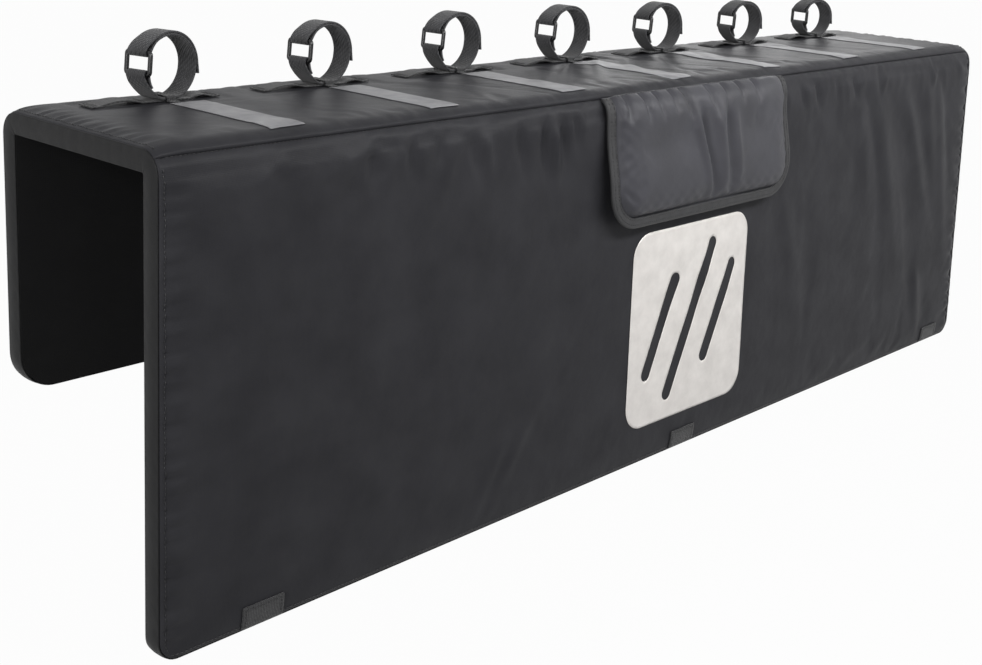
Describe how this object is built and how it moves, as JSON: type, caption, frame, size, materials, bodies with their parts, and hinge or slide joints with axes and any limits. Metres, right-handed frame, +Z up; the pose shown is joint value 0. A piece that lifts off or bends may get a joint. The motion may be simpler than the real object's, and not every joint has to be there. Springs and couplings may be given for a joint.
{
  "type": "tailgate bike pad",
  "caption": "Padded blanket that hangs over a pickup tailgate, long in front and short behind, with a handle flap, reflective stripes and buckled hook-and-loop rings for bikes.",
  "frame": {"origin": "middle of the flat lining face that rests on the top edge of the tailgate", "axes": "+X along the tailgate, -Y towards the outside of the vehicle, where the long panel hangs, +Z up; the handle flap and its panel sit a little towards +X of the middle"},
  "size_m": [1.5914, 0.2942, 0.5646],
  "materials": {
    "coated_polyester": "satin coated dark grey polyester",
    "closed_cell_foam": "grey closed-cell foam",
    "brushed_lining": "black brushed lining",
    "binding_tape": "dark grey woven binding",
    "woven_webbing": "dark grey woven webbing",
    "moulded_acetal": "gloss black moulded plastic",
    "reflective_film": "silver-grey reflective film",
    "hook_and_loop": "black hook-and-loop tape"
  },
  "bodies": {
    "root": {"front_cover": "coated_polyester", "top_cover": "coated_polyester", "rear_cover": "coated_polyester", "edge_boxing": "coated_polyester", "flap_cover": "coated_polyester", "front_foam": "closed_cell_foam", "top_foam": "closed_cell_foam", "rear_foam": "closed_cell_foam", "flap_foam": "closed_cell_foam", "lining": "brushed_lining", "flap_lining": "brushed_lining", "window_binding": "binding_tape", "flap_binding": "binding_tape", "flap_loop_tape": "hook_and_loop", "flap_hook_tape": "hook_and_loop", "bike_strap_1": "woven_webbing", "bike_strap_2": "woven_webbing", "bike_strap_3": "woven_webbing", "bike_strap_4": "woven_webbing", "bike_strap_5": "woven_webbing", "bike_strap_6": "woven_webbing", "bike_strap_7": "woven_webbing", "strap_buckle_1": "moulded_acetal", "strap_buckle_2": "moulded_acetal", "strap_buckle_3": "moulded_acetal", "strap_buckle_4": "moulded_acetal", "strap_buckle_5": "moulded_acetal", "strap_buckle_6": "moulded_acetal", "strap_buckle_7": "moulded_acetal", "strap_anchor_1": "woven_webbing", "strap_anchor_2": "woven_webbing", "strap_anchor_3": "woven_webbing", "strap_anchor_4": "woven_webbing", "strap_anchor_5": "woven_webbing", "strap_anchor_6": "woven_webbing", "strap_anchor_7": "woven_webbing", "strap_keeper_1": "woven_webbing", "strap_keeper_2": "woven_webbing", "strap_keeper_3": "woven_webbing", "strap_keeper_4": "woven_webbing", "strap_keeper_5": "woven_webbing", "strap_keeper_6": "woven_webbing", "strap_keeper_7": "woven_webbing", "reflective_strip_1": "reflective_film", "reflective_strip_2": "reflective_film", "reflective_strip_3": "reflective_film", "reflective_strip_4": "reflective_film", "reflective_strip_5": "reflective_film", "reflective_strip_6": "reflective_film", "reflective_strip_7": "reflective_film", "reflective_panel": "reflective_film", "hem_tab_1": "woven_webbing", "hem_tab_2": "woven_webbing", "hem_tab_3": "woven_webbing"}
  },
  "joints": []
}
